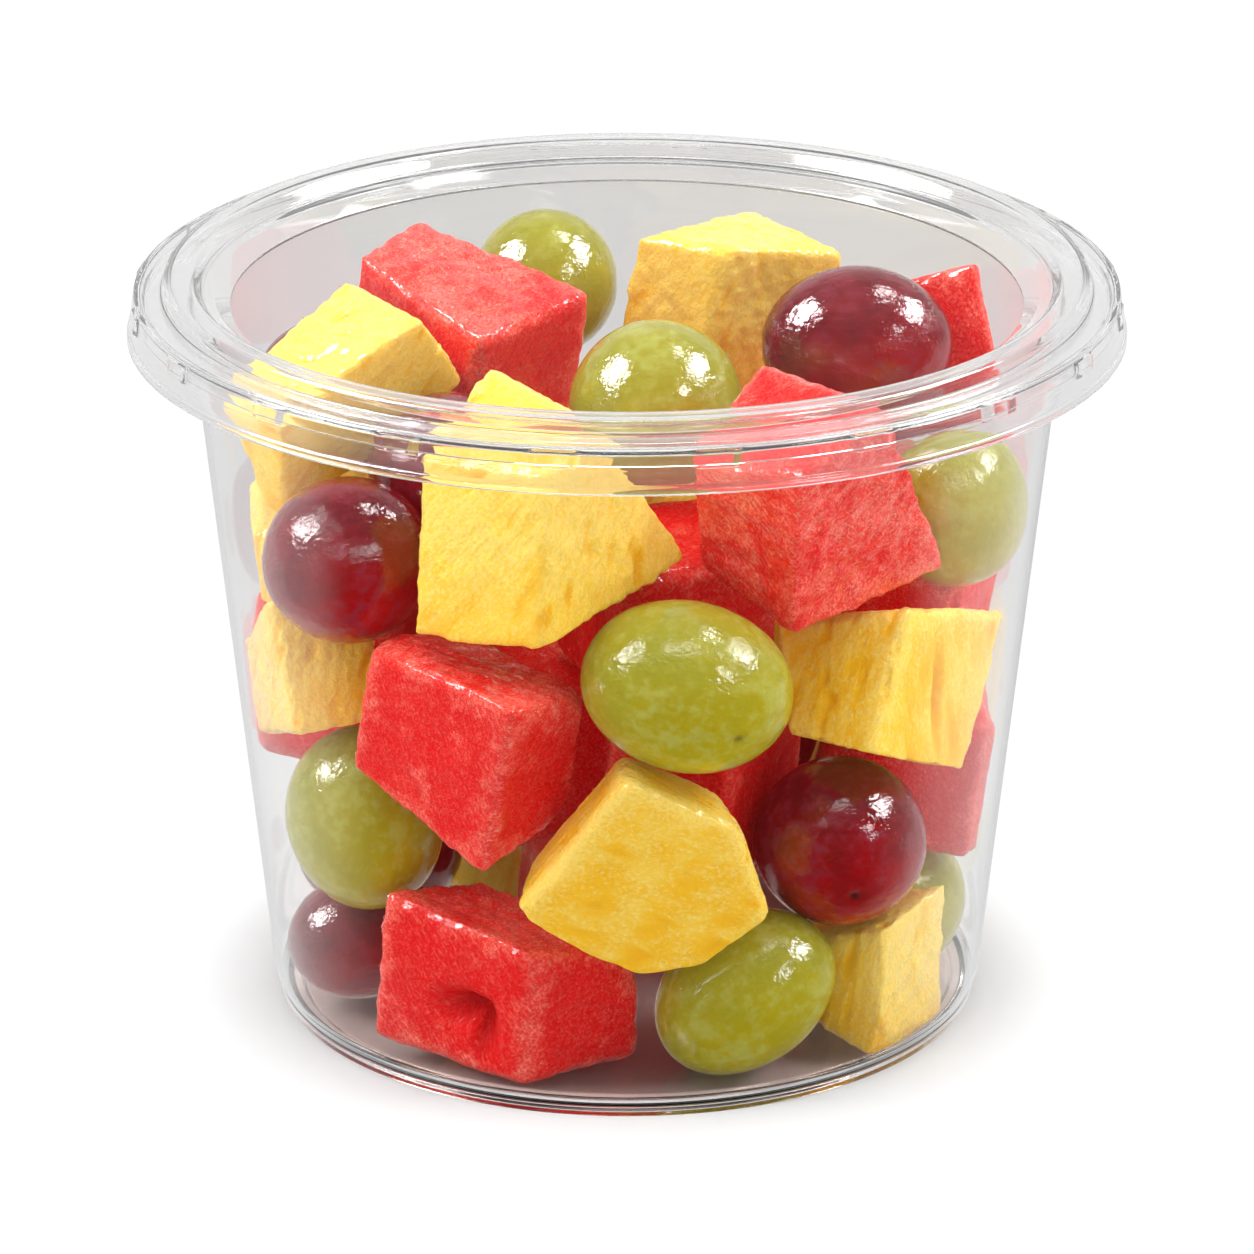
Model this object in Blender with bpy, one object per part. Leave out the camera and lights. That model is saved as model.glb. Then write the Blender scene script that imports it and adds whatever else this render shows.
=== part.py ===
"""A clear plastic deli cup with a press-on lid, full of cut fruit: watermelon, pineapple and grapes.

Every length here is in millimetres, and +Z is up. The cup stands on its foot ring at z = 0, with its
axis on Z, and -Y is the front. The cup and the lid are thin turned walls. Each cube of fruit is a
tapered block, trimmed flat where it would meet a neighbour, with its edges rounded off. Each grape
is an ellipsoid with a small hollow at its stem end.
"""

import math

import bmesh
import bpy
import numpy as np
from mathutils import Euler, Matrix, Vector

MM = 0.001

# The cup: its foot, its straight cone of a wall, and the flange that the lid snaps over
WALL = 0.6
FOOT_RADIUS = 42.9
FOOT_RING_WIDTH = 2.6
FOOT_HEIGHT = 2.6
FLOOR_UNDERSIDE = 0.7
FLOOR_TOP = 1.4
WALL_START_RADIUS = 43.6
WALL_START_HEIGHT = 3.0
WALL_SLOPE = 0.1065
WALL_END_HEIGHT = 88.6
FLANGE_TOP = 89.4
FLANGE_RADIUS = 58.3
FLANGE_LIP_HEIGHT = 87.6

# The lid: a skirt, a flat outer flange, a raised ring, a sloping wall with a ledge, a sunken panel
SHEET = 0.5
SKIRT_FOOT_RADIUS = 60.0
SKIRT_FOOT_HEIGHT = 84.7
SKIRT_TOP_RADIUS = 59.1
LID_FLANGE_TOP = 90.3
RING_OUTER_RADIUS = 55.4
RING_INNER_RADIUS = 52.2
LID_TOP = 92.3
LEDGE_RADIUS = 50.3
LEDGE_HEIGHT = 90.3
PANEL_RADIUS = 47.6
PANEL_TOP = 88.4
PANEL_SHEET = 0.4

# Trapezoid snap lugs on the outside of the skirt, below its top edge
LUG_COUNT = 20
LUG_FIRST_ANGLE = -98.0
LUG_TOP_WIDTH = 5.4
LUG_FOOT_WIDTH = 4.2
LUG_HEIGHT = 2.2
LUG_DEPTH = 0.3
LUG_SUNK = 0.25
LUG_BELOW_TOP = 0.5

# Facets round the turned pieces
TURN_STEPS = 48

# The room that touching fruit keeps, and the rounding of cut edges
GAP = 0.4
MELON_ROUNDING = 1.5
PINEAPPLE_ROUNDING = 1.1
ROUNDING_FULLNESS = 0.6
SHORTEST_EDGE = 2.2
FLAT_ANGLE = 9.0
SHARP_ANGLE = 12.0
COARSE_BELOW = 60.0

# Cut cubes of fruit: place of the middle, turn in degrees, size, and tapers. A taper named "xy" makes
# the size along the block's x smaller towards its +y side and larger towards its -y side.
MELON_BLOCKS = (
    ((-21.5, 24.0, 76.0), (15, -6, 43), (16.5, 27.5, 17.0), {"xy": 0.2, "yx": -0.05, "zx": -0.05, "zy": 0.2}),
    ((39.5, 26.0, 74.0), (-16, -19, -17), (14.0, 9.5, 17.0), {"xy": 0.05}),
    ((20.0, -23.5, 72.0), (21, 8, -45), (20.5, 19.0, 22.0), {"xy": -0.15, "yz": 0.2, "zx": -0.2, "zy": -0.15}),
    ((-18.5, -30.0, 45.0), (5, 16, -40), (23.0, 15.0, 19.0), {"zx": -0.15, "zy": 0.2}),
    ((-15.0, -26.5, 12.0), (-2, 6, -40), (28.0, 18.5, 17.5), {"xy": -0.2, "yx": 0.15, "zx": 0.05, "zy": 0.1}),
    ((-36.0, 7.5, 39.5), (-6, 8, -15), (18.0, 18.0, 23.0), {"yz": 0.05}),
    ((33.5, 0.5, 26.0), (0, 10, 0), (19.5, 19.5, 25.5), {"xz": 0.05}),
    ((4.5, -11.0, 54.0), (6, 2, 25), (21.0, 19.5, 19.0), {"xy": 0.05}),
    ((9.0, -14.0, 32.0), (-5, 5, -28), (17.5, 20.0, 20.0), {}),
    ((-13.0, -7.0, 34.5), (12, -5, 24), (19.5, 18.5, 20.0), {"xz": 0.05}),
    ((26.5, 25.0, 54.5), (14, 7, 43), (20.0, 19.0, 19.5), {"yx": -0.05}),
    ((35.0, 6.0, 48.5), (10, 0, 65), (15.5, 17.0, 16.5), {}),
    ((3.5, 34.0, 34.5), (-10, 4, -17), (20.5, 19.5, 20.5), {"yx": -0.05}),
    ((-21.0, 26.0, 30.5), (-5, -2, 26), (19.5, 19.5, 19.0), {}),
    ((11.0, 28.5, 13.0), (-5, 6, 41), (19.5, 18.5, 19.5), {"xy": 0.1}),
    ((-0.5, 4.5, 13.0), (0, 7, 16), (22.0, 21.0, 19.5), {"xy": 0.05}),
)
PINEAPPLE_BLOCKS = (
    ((12.0, 33.0, 77.0), (-8, 13, -50), (17.5, 19.0, 18.5), {"xy": -0.25, "yx": 0.2, "yz": -0.1, "zx": -0.25}),
    ((-35.0, 2.0, 75.5), (5, -27, 36), (25.5, 12.0, 15.5), {"xz": 0.15, "yx": -0.2, "yz": -0.35, "zy": 0.1}),
    ((-10.5, -29.5, 72.5), (18, 0, -41), (19.5, 21.0, 24.0), {"xy": -0.05, "yx": 0.15, "yz": 0.4, "zy": -0.1}),
    ((30.5, -19.0, 45.5), (-21, -9, -37), (16.5, 20.5, 18.5), {"xz": -0.2, "zx": -0.15, "zy": -0.05}),
    ((-37.0, -12.0, 45.5), (-27, -5, 18), (14.0, 14.5, 16.5), {"xy": -0.1, "yz": 0.2, "zy": 0.15}),
    ((29.0, -20.5, 12.5), (-2, 0, -34), (14.0, 18.0, 21.0), {"xy": -0.05, "zx": -0.25, "zy": -0.1}),
    ((-37.5, 3.5, 56.0), (12, -6, 8), (16.0, 15.0, 14.5), {"xy": 0.05}),
    ((-11.5, 34.0, 56.0), (-17, -10, 3), (18.5, 18.0, 20.5), {"yx": -0.05, "yz": 0.1}),
    ((25.0, 24.5, 32.5), (9, 3, 43), (18.5, 19.5, 19.5), {"xy": 0.05}),
    ((-13.5, 26.0, 11.5), (-2, -2, -44), (19.5, 19.5, 18.5), {"xy": 0.05}),
    ((4.0, 13.0, 52.0), (-6, 6, 21), (19.5, 18.5, 19.0), {"xy": 0.05}),
)

# Extra cuts on blocks: a point on the cut and its outward direction
EXTRA_CUTS = {"watermelon_05": ((-30.6, -27.4, 12.0), (-0.6, 0.8, 0.095))}

# The piece cut from a pineapple ring's edge: a wedge with an arched foot
WEDGE_PLACE = (4.0, -37.5, 34.5)
WEDGE_TURN = (12, 13, 10)
WEDGE_SIZE = (20.5, 10.0, 17.0)
WEDGE_TAPERS = {"xy": 0.1, "xz": 0.4, "zx": 0.2, "zy": 0.1}
WEDGE_ARCH = 9.0
WEDGE_ARCH_STEPS = ((-0.47, 0.7), (0.0, 1.0), (0.47, 0.7))

# Grapes: place, half lengths along and across (the third, where given, is the half height) and turn.
# The stem end is the block's +x end.
GREEN_GRAPES = (
    ((-10.0, 37.5, 78.0), (9.5, 9.3), (0, 0, 0)),
    ((3.5, 1.0, 74.5), (10.6, 10.4), (0, 0, 20)),
    ((39.5, -6.5, 64.5), (10.8, 9.0), (0, 72, 78)),
    ((7.0, -36.0, 52.5), (12.7, 10.3), (0, 13, -2)),
    ((-31.5, -17.0, 28.0), (11.8, 9.5), (-5, 80, 22)),
    ((14.0, -31.5, 11.5), (11.8, 9.0), (6, -36, 8)),
    ((32.5, -2.0, 11.0), (10.6, 9.2), (0, 0, 60)),
    ((9.5, 37.0, 57.0), (11.8, 9.8), (0, 22, 16)),
    ((28.0, 17.5, 11.5), (10.8, 9.5), (0, 0, 50)),
    ((-16.5, 7.5, 51.0), (11.0, 9.5), (0, 28, 61)),
)
RED_GRAPES = (
    ((28.5, 15.0, 77.4), (12.2, 9.3, 9.8), (0, 0, 0)),
    ((-37.0, 16.5, 71.0), (9.6, 9.0), (0, 0, 60)),
    ((-33.0, -20.5, 62.5), (10.2, 10.1), (0, 0, 30)),
    ((25.5, -24.0, 28.0), (10.5, 10.3), (0, 0, 38)),
    ((-32.0, -10.0, 9.8), (9.8, 7.9), (0, 0, 30)),
    ((-21.5, -4.5, 68.0), (10.5, 9.6), (0, 31, 58)),
    ((-30.0, 23.5, 50.5), (10.9, 9.7), (0, 50, 36)),
    ((-31.0, 10.0, 14.0), (11.0, 10.0), (0, 15, 20)),
    ((13.5, 6.5, 31.5), (10.9, 9.9), (0, 35, 25)),
)
GRAPE_RINGS = 8
GRAPE_STEPS = 12
STEM_HOLLOW = 0.06


def principled(name, color, roughness, **inputs):
    """Make a material whose Principled shader has the given colour, roughness and other inputs."""
    material = bpy.data.materials.new(name)
    material.use_nodes = True
    shader = material.node_tree.nodes["Principled BSDF"]
    shader.inputs["Base Color"].default_value = (*color, 1.0)
    shader.inputs["Roughness"].default_value = roughness
    for key, value in inputs.items():
        shader.inputs[key.replace("_", " ")].default_value = value
    return material


def add_object(name, mesh, material):
    """Link a mesh given in millimetres to the scene as one smooth-shaded object in metres."""
    mesh.transform(Matrix.Scale(MM, 4))
    mesh.shade_smooth()
    mesh.set_sharp_from_angle(angle=math.radians(30))
    mesh.materials.append(material)
    item = bpy.data.objects.new(name, mesh)
    bpy.context.scene.collection.objects.link(item)
    return item


def turned_mesh(name, outline):
    """Spin a closed outline of (radius, height) points round Z; it starts and ends on the axis.

    The outline runs from the axis underneath, out, up the outside and back to the axis on top.
    """
    shape = bmesh.new()
    points = [shape.verts.new((radius, 0.0, height)) for radius, height in outline]
    edges = [shape.edges.new(pair) for pair in zip(points, points[1:])]
    bmesh.ops.spin(
        shape, geom=points + edges, axis=(0, 0, 1), cent=(0, 0, 0),
        steps=TURN_STEPS, angle=math.tau, use_merge=False, use_duplicate=False,
    )
    bmesh.ops.remove_doubles(shape, verts=shape.verts, dist=0.01)
    bmesh.ops.recalc_face_normals(shape, faces=shape.faces)
    mesh = bpy.data.meshes.new(name)
    shape.to_mesh(mesh)
    shape.free()
    return mesh


def wall_radius(height):
    """Outer radius of the cup's straight wall at a height."""
    return WALL_START_RADIUS + WALL_SLOPE * (height - WALL_START_HEIGHT)


def make_cup(material):
    """The cup: foot ring, floor, straight conical wall and the flange under the lid."""
    top = WALL_END_HEIGHT
    shoulder = WALL_START_HEIGHT - 0.6
    outline = [
        (0.0, FLOOR_UNDERSIDE),
        (FOOT_RADIUS - FOOT_RING_WIDTH - 0.5, FLOOR_UNDERSIDE),
        (FOOT_RADIUS - FOOT_RING_WIDTH, 0.0),
        (FOOT_RADIUS - 0.3, 0.0),
        (FOOT_RADIUS, 0.3),
        (FOOT_RADIUS + 0.2, FOOT_HEIGHT),
        (WALL_START_RADIUS, WALL_START_HEIGHT),
        (wall_radius(top), top),
        (wall_radius(top) + 0.4, FLANGE_TOP - WALL),
        (FLANGE_RADIUS - WALL, FLANGE_TOP - WALL),
        (FLANGE_RADIUS - WALL, FLANGE_LIP_HEIGHT),
        (FLANGE_RADIUS, FLANGE_LIP_HEIGHT),
        (FLANGE_RADIUS, FLANGE_TOP - 0.4),
        (FLANGE_RADIUS - 0.4, FLANGE_TOP),
        (wall_radius(top), FLANGE_TOP),
        (wall_radius(top) - WALL, top),
        (WALL_START_RADIUS - WALL, WALL_START_HEIGHT),
        (FOOT_RADIUS - 0.5, shoulder),
        (FOOT_RADIUS - 0.7, FLOOR_TOP + 0.4),
        (FOOT_RADIUS - 1.3, FLOOR_TOP),
        (0.0, FLOOR_TOP),
    ]
    return add_object("cup", turned_mesh("cup", outline), material)


def lug_mesh():
    """The snap lugs as one mesh of flat trapezoid pads sunk into the outside of the skirt."""
    shape = bmesh.new()
    lean = (SKIRT_FOOT_RADIUS - SKIRT_TOP_RADIUS) / (LID_FLANGE_TOP - SKIRT_FOOT_HEIGHT)
    pad_top = LID_FLANGE_TOP - LUG_BELOW_TOP
    for step in range(LUG_COUNT):
        corners = []
        for height, width in ((pad_top, LUG_TOP_WIDTH), (pad_top - LUG_HEIGHT, LUG_FOOT_WIDTH)):
            face = SKIRT_TOP_RADIUS + lean * (LID_FLANGE_TOP - height)
            for radius in (face - LUG_SUNK, face + LUG_DEPTH):
                corners += [(radius, -width / 2, height), (radius, width / 2, height)]
        pad = bmesh.ops.convex_hull(shape, input=[shape.verts.new(corner) for corner in corners])
        turn = Matrix.Rotation(math.radians(LUG_FIRST_ANGLE + 360 * step / LUG_COUNT), 4, "Z")
        verts = [item for item in pad["geom"] if isinstance(item, bmesh.types.BMVert)]
        bmesh.ops.transform(shape, matrix=turn, verts=verts)
    mesh = bpy.data.meshes.new("lugs")
    shape.to_mesh(mesh)
    shape.free()
    mesh.transform(Matrix.Scale(MM, 4))
    return mesh


def make_lid(material):
    """The lid: sunken panel, sloping wall with a ledge, raised ring, flange, skirt and snap lugs."""
    outline = [
        (0.0, PANEL_TOP - PANEL_SHEET),
        (PANEL_RADIUS, PANEL_TOP - PANEL_SHEET),
        (LEDGE_RADIUS - 0.3, LEDGE_HEIGHT - SHEET),
        (LEDGE_RADIUS + 0.9, LEDGE_HEIGHT - SHEET + 0.1),
        (RING_INNER_RADIUS + 0.2, LID_TOP - SHEET),
        (RING_OUTER_RADIUS - 0.6, LID_TOP - SHEET),
        (RING_OUTER_RADIUS - 0.2, LID_FLANGE_TOP - SHEET),
        (SKIRT_TOP_RADIUS - 0.5, LID_FLANGE_TOP - SHEET),
        (SKIRT_FOOT_RADIUS - 0.8, SKIRT_FOOT_HEIGHT + 0.9),
        (SKIRT_FOOT_RADIUS - 0.5, SKIRT_FOOT_HEIGHT),
        (SKIRT_FOOT_RADIUS, SKIRT_FOOT_HEIGHT),
        (SKIRT_FOOT_RADIUS, SKIRT_FOOT_HEIGHT + 0.8),
        (SKIRT_FOOT_RADIUS - 0.3, SKIRT_FOOT_HEIGHT + 1.1),
        (SKIRT_TOP_RADIUS, LID_FLANGE_TOP - 0.4),
        (SKIRT_TOP_RADIUS - 0.4, LID_FLANGE_TOP),
        (RING_OUTER_RADIUS + 0.3, LID_FLANGE_TOP),
        (RING_OUTER_RADIUS, LID_TOP - 0.4),
        (RING_OUTER_RADIUS - 0.4, LID_TOP),
        (RING_INNER_RADIUS, LID_TOP),
        (LEDGE_RADIUS + 0.6, LEDGE_HEIGHT + 0.1),
        (LEDGE_RADIUS - 0.5, LEDGE_HEIGHT),
        (PANEL_RADIUS - 0.2, PANEL_TOP),
        (0.0, PANEL_TOP),
    ]
    lid = add_object("lid", turned_mesh("lid", outline), material)
    lugs = bpy.data.objects.new("lugs", lug_mesh())
    lugs.hide_render = True
    lugs.display_type = "WIRE"
    bpy.context.scene.collection.objects.link(lugs)
    join = lid.modifiers.new("snap lugs", "BOOLEAN")
    join.operation = "UNION"
    join.solver = "EXACT"
    join.object = lugs
    return lid


def block_corners(size, tapers):
    """The corners of a block whose sizes change linearly along its other axes."""
    corners = []
    for side in np.ndindex(2, 2, 2):
        sign = np.array(side) * 2.0 - 1.0
        half = np.array(size) / 2.0
        for name, amount in tapers.items():
            along = "xyz".index(name[1])
            half["xyz".index(name[0])] *= 1.0 - amount * sign[along]
        corners.append(sign * half)
    return corners


def placed(points, place, turn):
    """Turn points by degrees about X, Y and Z and move them to a place, as a numpy array."""
    matrix = np.array(Euler([math.radians(angle) for angle in turn]).to_matrix())
    return np.array(points) @ matrix.T + np.array(place)


def hull(points):
    """A convex bmesh round a set of points, without the points that lie inside it."""
    shape = bmesh.new()
    for point in points:
        shape.verts.new(point)
    bmesh.ops.convex_hull(shape, input=shape.verts)
    loose = [vert for vert in shape.verts if not vert.link_faces]
    bmesh.ops.delete(shape, geom=loose, context="VERTS")
    return shape


class Cube:
    """A cut cube of fruit while its neighbours are being fitted."""

    def __init__(self, name, points, rounding, material):
        self.name = name
        self.rounding = rounding
        self.material = material
        self.shape = hull(points)
        self.middle = points.mean(axis=0)

    def points(self):
        """The corners as rows."""
        return np.array([vert.co for vert in self.shape.verts])

    def reach(self, directions):
        """How far the block reaches along each direction."""
        return (self.points() @ directions.T).max(axis=0)

    def face_directions(self):
        """The outward directions of its flats."""
        return np.array([face.normal for face in self.shape.faces])

    def edge_directions(self):
        """The directions of its edges."""
        pairs = [edge.verts for edge in self.shape.edges]
        return np.array([(second.co - first.co).normalized() for first, second in pairs])

    def trim(self, direction, reach):
        """Cut away what lies further than reach along a direction."""
        if self.reach(direction[None])[0] <= reach:
            return
        geometry = self.shape.verts[:] + self.shape.edges[:] + self.shape.faces[:]
        bmesh.ops.bisect_plane(
            self.shape, geom=geometry, dist=1e-5, clear_outer=True,
            plane_co=Vector(direction * reach), plane_no=Vector(direction),
        )
        points = self.points()
        self.shape.free()
        self.shape = hull(points)

    def rounding_steps(self):
        """Two steps where the piece lies at the front or on top, one where others hide it."""
        return 2 if self.middle[1] < 0.0 or self.middle[2] > COARSE_BELOW else 1

    def finish(self):
        """Merge short edges, round the rest and add the object."""
        bmesh.ops.remove_doubles(self.shape, verts=self.shape.verts, dist=SHORTEST_EDGE)
        points = self.points()
        self.shape.free()
        shape = hull(points)
        bmesh.ops.dissolve_limit(
            shape, angle_limit=math.radians(FLAT_ANGLE), verts=shape.verts, edges=shape.edges
        )
        sharp = math.radians(SHARP_ANGLE)
        edges = [edge for edge in shape.edges if edge.calc_face_angle() > sharp]
        bmesh.ops.bevel(
            shape, geom=edges, offset=self.rounding, offset_type="OFFSET",
            segments=self.rounding_steps(), profile=ROUNDING_FULLNESS, affect="EDGES", clamp_overlap=True,
        )
        bmesh.ops.triangulate(shape, faces=shape.faces)
        mesh = bpy.data.meshes.new(self.name)
        shape.to_mesh(mesh)
        shape.free()
        return add_object(self.name, mesh, self.material)


class Grape:
    """An ellipsoid, its long axis along its own x, with a hollow at the +x end."""

    def __init__(self, name, place, half, turn, material):
        self.name = name
        self.material = material
        self.middle = np.array(place)
        self.half = np.array([half[0], half[1], half[-1]])
        self.turn = turn

    def axes(self):
        """The three half axes as columns."""
        return np.array(Euler([math.radians(angle) for angle in self.turn]).to_matrix()) * self.half

    def reach(self, directions):
        """How far the grape reaches along each direction."""
        return directions @ self.middle + np.linalg.norm(directions @ self.axes(), axis=1)

    def finish(self):
        """Add the object: rings of points from one tip of the long axis to the other."""
        shape = bmesh.new()
        bmesh.ops.create_uvsphere(shape, u_segments=GRAPE_STEPS, v_segments=GRAPE_RINGS, radius=1.0)
        for vert in shape.verts:
            if vert.co.z > 0.99:
                vert.co.z -= STEM_HOLLOW
        points = [(vert.co.z, vert.co.y, -vert.co.x) for vert in shape.verts]
        for vert, point in zip(shape.verts, placed(np.array(points) * self.half, self.middle, self.turn)):
            vert.co = point
        mesh = bpy.data.meshes.new(self.name)
        shape.to_mesh(mesh)
        shape.free()
        return add_object(self.name, mesh, self.material)


def separation(first, second):
    """The direction from one piece to the other along which they lie furthest apart, and how far."""
    offset = second.middle - first.middle
    choices = [offset[None, :], first.face_directions()]
    if isinstance(second, Cube):
        choices.append(second.face_directions())
        crosses = np.cross(first.edge_directions()[:, None], second.edge_directions()[None])
        choices.append(crosses.reshape(-1, 3))
    else:
        choices.append(second.middle - first.points())
        edges = [edge.verts for edge in first.shape.edges]
        middles = np.array([(one.co + other.co) / 2 for one, other in edges])
        choices.append(second.middle - middles)
    directions = np.vstack(choices)
    lengths = np.linalg.norm(directions, axis=1)
    directions = directions[lengths > 1e-3] / lengths[lengths > 1e-3, None]
    directions *= np.sign(directions @ offset + 1e-9)[:, None]
    apart = -second.reach(-directions) - first.reach(directions)
    best = int(apart.argmax())
    return directions[best], apart[best]


def fit_in_cup(cube):
    """Trim a block that reaches into the floor, the rounded heel or the wall, less the gap."""
    cube.trim(np.array([0.0, 0.0, -1.0]), -(FLOOR_TOP + GAP))
    heel_radius = WALL_START_RADIUS - WALL
    for step in range(TURN_STEPS):
        around = math.tau * (step + 0.5) / TURN_STEPS
        for slope in (WALL_SLOPE, 1.0):
            direction = np.array([math.cos(around), math.sin(around), -slope])
            direction /= np.linalg.norm(direction)
            reach = np.hypot(*direction[:2]) * heel_radius + direction[2] * WALL_START_HEIGHT
            cube.trim(direction, reach - GAP)


def make_room(cubes, grapes):
    """Trim each block flat where it would come closer than the gap to a grape or another block."""
    for number, cube in enumerate(cubes):
        fit_in_cup(cube)
        for grape in grapes:
            direction, apart = separation(cube, grape)
            if apart < GAP:
                cube.trim(direction, cube.reach(direction[None])[0] - (GAP - apart))
        for other in cubes[:number]:
            direction, apart = separation(cube, other)
            if apart < GAP:
                share = (GAP - apart) / 2
                cube.trim(direction, cube.reach(direction[None])[0] - share)
                other.trim(-direction, other.reach(-direction[None])[0] - share)


def wedge_points():
    """The corners of the wedge, with its foot arched outwards.

    Each step of the arch is its place along the foot and its share of the arch's depth.
    """
    width, depth, height = WEDGE_SIZE
    points = block_corners(WEDGE_SIZE, WEDGE_TAPERS)
    for side in (-1, 1):
        for along, share in WEDGE_ARCH_STEPS:
            points.append((along * width, side * depth / 2, -height / 2 - WEDGE_ARCH * share))
    return placed(points, WEDGE_PLACE, WEDGE_TURN)


def main():
    """Clear the scene and build every piece."""
    for item in list(bpy.data.objects):
        bpy.data.objects.remove(item, do_unlink=True)
    clear = principled("clear_plastic", (0.95, 0.96, 0.97), 0.05, IOR=1.46, Transmission_Weight=1.0)
    melon = principled("watermelon", (0.80, 0.07, 0.05), 0.35)
    pineapple = principled("pineapple", (0.86, 0.58, 0.12), 0.4)
    green = principled("green_grape", (0.42, 0.42, 0.08), 0.15)
    red = principled("red_grape", (0.22, 0.015, 0.02), 0.15)

    cubes = []
    for number, (place, turn, size, tapers) in enumerate(MELON_BLOCKS, 1):
        points = placed(block_corners(size, tapers), place, turn)
        cubes.append(Cube(f"watermelon_{number:02d}", points, MELON_ROUNDING, melon))
    for number, (place, turn, size, tapers) in enumerate(PINEAPPLE_BLOCKS, 1):
        points = placed(block_corners(size, tapers), place, turn)
        cubes.append(Cube(f"pineapple_{number:02d}", points, PINEAPPLE_ROUNDING, pineapple))
    cubes.append(Cube("pineapple_wedge", wedge_points(), PINEAPPLE_ROUNDING, pineapple))

    grapes = []
    for number, (place, half, turn) in enumerate(GREEN_GRAPES, 1):
        grapes.append(Grape(f"green_grape_{number:02d}", place, half, turn, green))
    for number, (place, half, turn) in enumerate(RED_GRAPES, 1):
        grapes.append(Grape(f"red_grape_{number:02d}", place, half, turn, red))

    for cube in cubes:
        if cube.name in EXTRA_CUTS:
            point, direction = (Vector(item) for item in EXTRA_CUTS[cube.name])
            direction.normalize()
            cube.trim(np.array(direction), point.dot(direction))
    make_room(cubes, grapes)
    for piece in cubes + grapes:
        piece.finish()
    make_cup(clear)
    make_lid(clear)


main()
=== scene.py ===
"""A clear deli cup full of cut fruit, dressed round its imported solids.

Lengths are in millimetres until a mesh is made, and +Z is up; the cup's axis is Z, and -Y is the
front. Every piece of fruit takes its place and shape from its own solid: a cube of melon or
pineapple from the flats of the solid, a grape from its axes. The cup and the lid are outlines
turned round Z.
"""

import math

import bpy
import numpy as np
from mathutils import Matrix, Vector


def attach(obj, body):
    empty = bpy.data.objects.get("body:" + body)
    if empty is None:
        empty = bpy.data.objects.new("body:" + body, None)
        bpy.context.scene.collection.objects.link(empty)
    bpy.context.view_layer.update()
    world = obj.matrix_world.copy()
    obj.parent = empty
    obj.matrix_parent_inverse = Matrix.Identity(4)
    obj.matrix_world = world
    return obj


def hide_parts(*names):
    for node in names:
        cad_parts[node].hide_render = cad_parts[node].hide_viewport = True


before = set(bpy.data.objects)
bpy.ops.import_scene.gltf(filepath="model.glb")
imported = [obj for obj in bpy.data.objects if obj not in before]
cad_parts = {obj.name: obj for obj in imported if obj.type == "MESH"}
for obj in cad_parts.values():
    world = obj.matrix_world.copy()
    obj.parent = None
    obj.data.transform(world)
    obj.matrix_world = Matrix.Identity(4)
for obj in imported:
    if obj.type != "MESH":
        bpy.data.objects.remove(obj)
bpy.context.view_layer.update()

MM = 0.001
# Steps round Z of the turned outlines; the lid's are finer, for its lugs
TURN_STEPS = 288
LID_STEPS = 720

# The cup and the lid, as on their solids
WALL = 0.6
FOOT_RADIUS = 42.9
WALL_START_RADIUS = 43.6
WALL_START_HEIGHT = 3.0
WALL_SLOPE = 0.1065
WALL_END_HEIGHT = 88.6
FLANGE_TOP = 89.4
FLANGE_RADIUS = 58.3
FLOOR_TOP = 1.4
SKIRT_TOP_RADIUS = 59.1
SKIRT_FOOT_RADIUS = 60.0
SKIRT_FOOT_HEIGHT = 84.7
LID_FLANGE_TOP = 90.3
LID_TOP = 92.3
PANEL_UNDERSIDE = 88.05
PANEL_TOP = 88.35
PANEL_RADIUS = 47.4

# The lugs on the skirt: their number, the first one's angle in degrees, and their sizes
LUG_COUNT = 20
LUG_FIRST_ANGLE = -98.0
LUG_BELOW_TOP = 0.5
LUG_HEIGHT = 2.2
LUG_DEPTH = 0.3
LUG_HALF_WIDTH = 2.7
LUG_TAPER = 0.27

# The pool of juice on the cup's floor
JUICE_TOP = 2.0

# Drops on a piece: how many at the front, at the back and on a grape, and their radii
FRONT_DROPS = 150
BACK_DROPS = 30
GRAPE_DROPS = 70
CUBE_DROP_SIZES = (0.1, 0.34)
GRAPE_DROP_SIZES = (0.07, 0.2)

# Cells along each side of a piece's grid: pieces that face the front or the top, and the others
FRONT_CELLS = 72
BACK_CELLS = 32
GRAPE_CELLS = 40

# Hollows in the sides of cubes: place, reach along X, Y and Z, and depth
HOLLOWS = {
    "watermelon_05": (
        ((-19.8, -34.4, 10.5), (3.4, 3.4, 2.2), 4.0),
        ((-16.8, -36.3, 8.5), (1.6, 1.6, 3.4), 3.0),
    ),
    "pineapple_04": (
        ((23.8, -26.9, 47.1), (1.0, 1.0, 1.1), 0.6),
        ((32.0, -28.0, 47.0), (0.8, 0.8, 7.0), 1.3),
        ((36.5, -24.0, 46.0), (0.8, 0.8, 8.0), 1.3),
    ),
    "pineapple_06": (((30.5, -28.0, 14.0), (0.7, 0.9, 8.0), 0.8),),
}

# The direction of the fibres in the pieces of pineapple
FIBRES = {
    "pineapple_01": (0.5, -0.4, 0.8),
    "pineapple_02": (0.8, -0.3, 0.5),
    "pineapple_03": (0.5, -0.35, 0.8),
    "pineapple_04": (0.15, -0.3, 1.0),
    "pineapple_05": (0.2, -0.2, 1.0),
    "pineapple_06": (0.2, -0.2, 1.0),
    "pineapple_wedge": (0.9, -0.2, -0.35),
}
OTHER_FIBRES = (0.3, 0.4, 0.85)

# Where the stem scar shows on a grape that faces the front; on the others it is at the stem end
SCARS = {"green_grape_04": (0.47, -0.82, -0.32), "red_grape_04": (0.15, -0.93, -0.33)}

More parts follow.
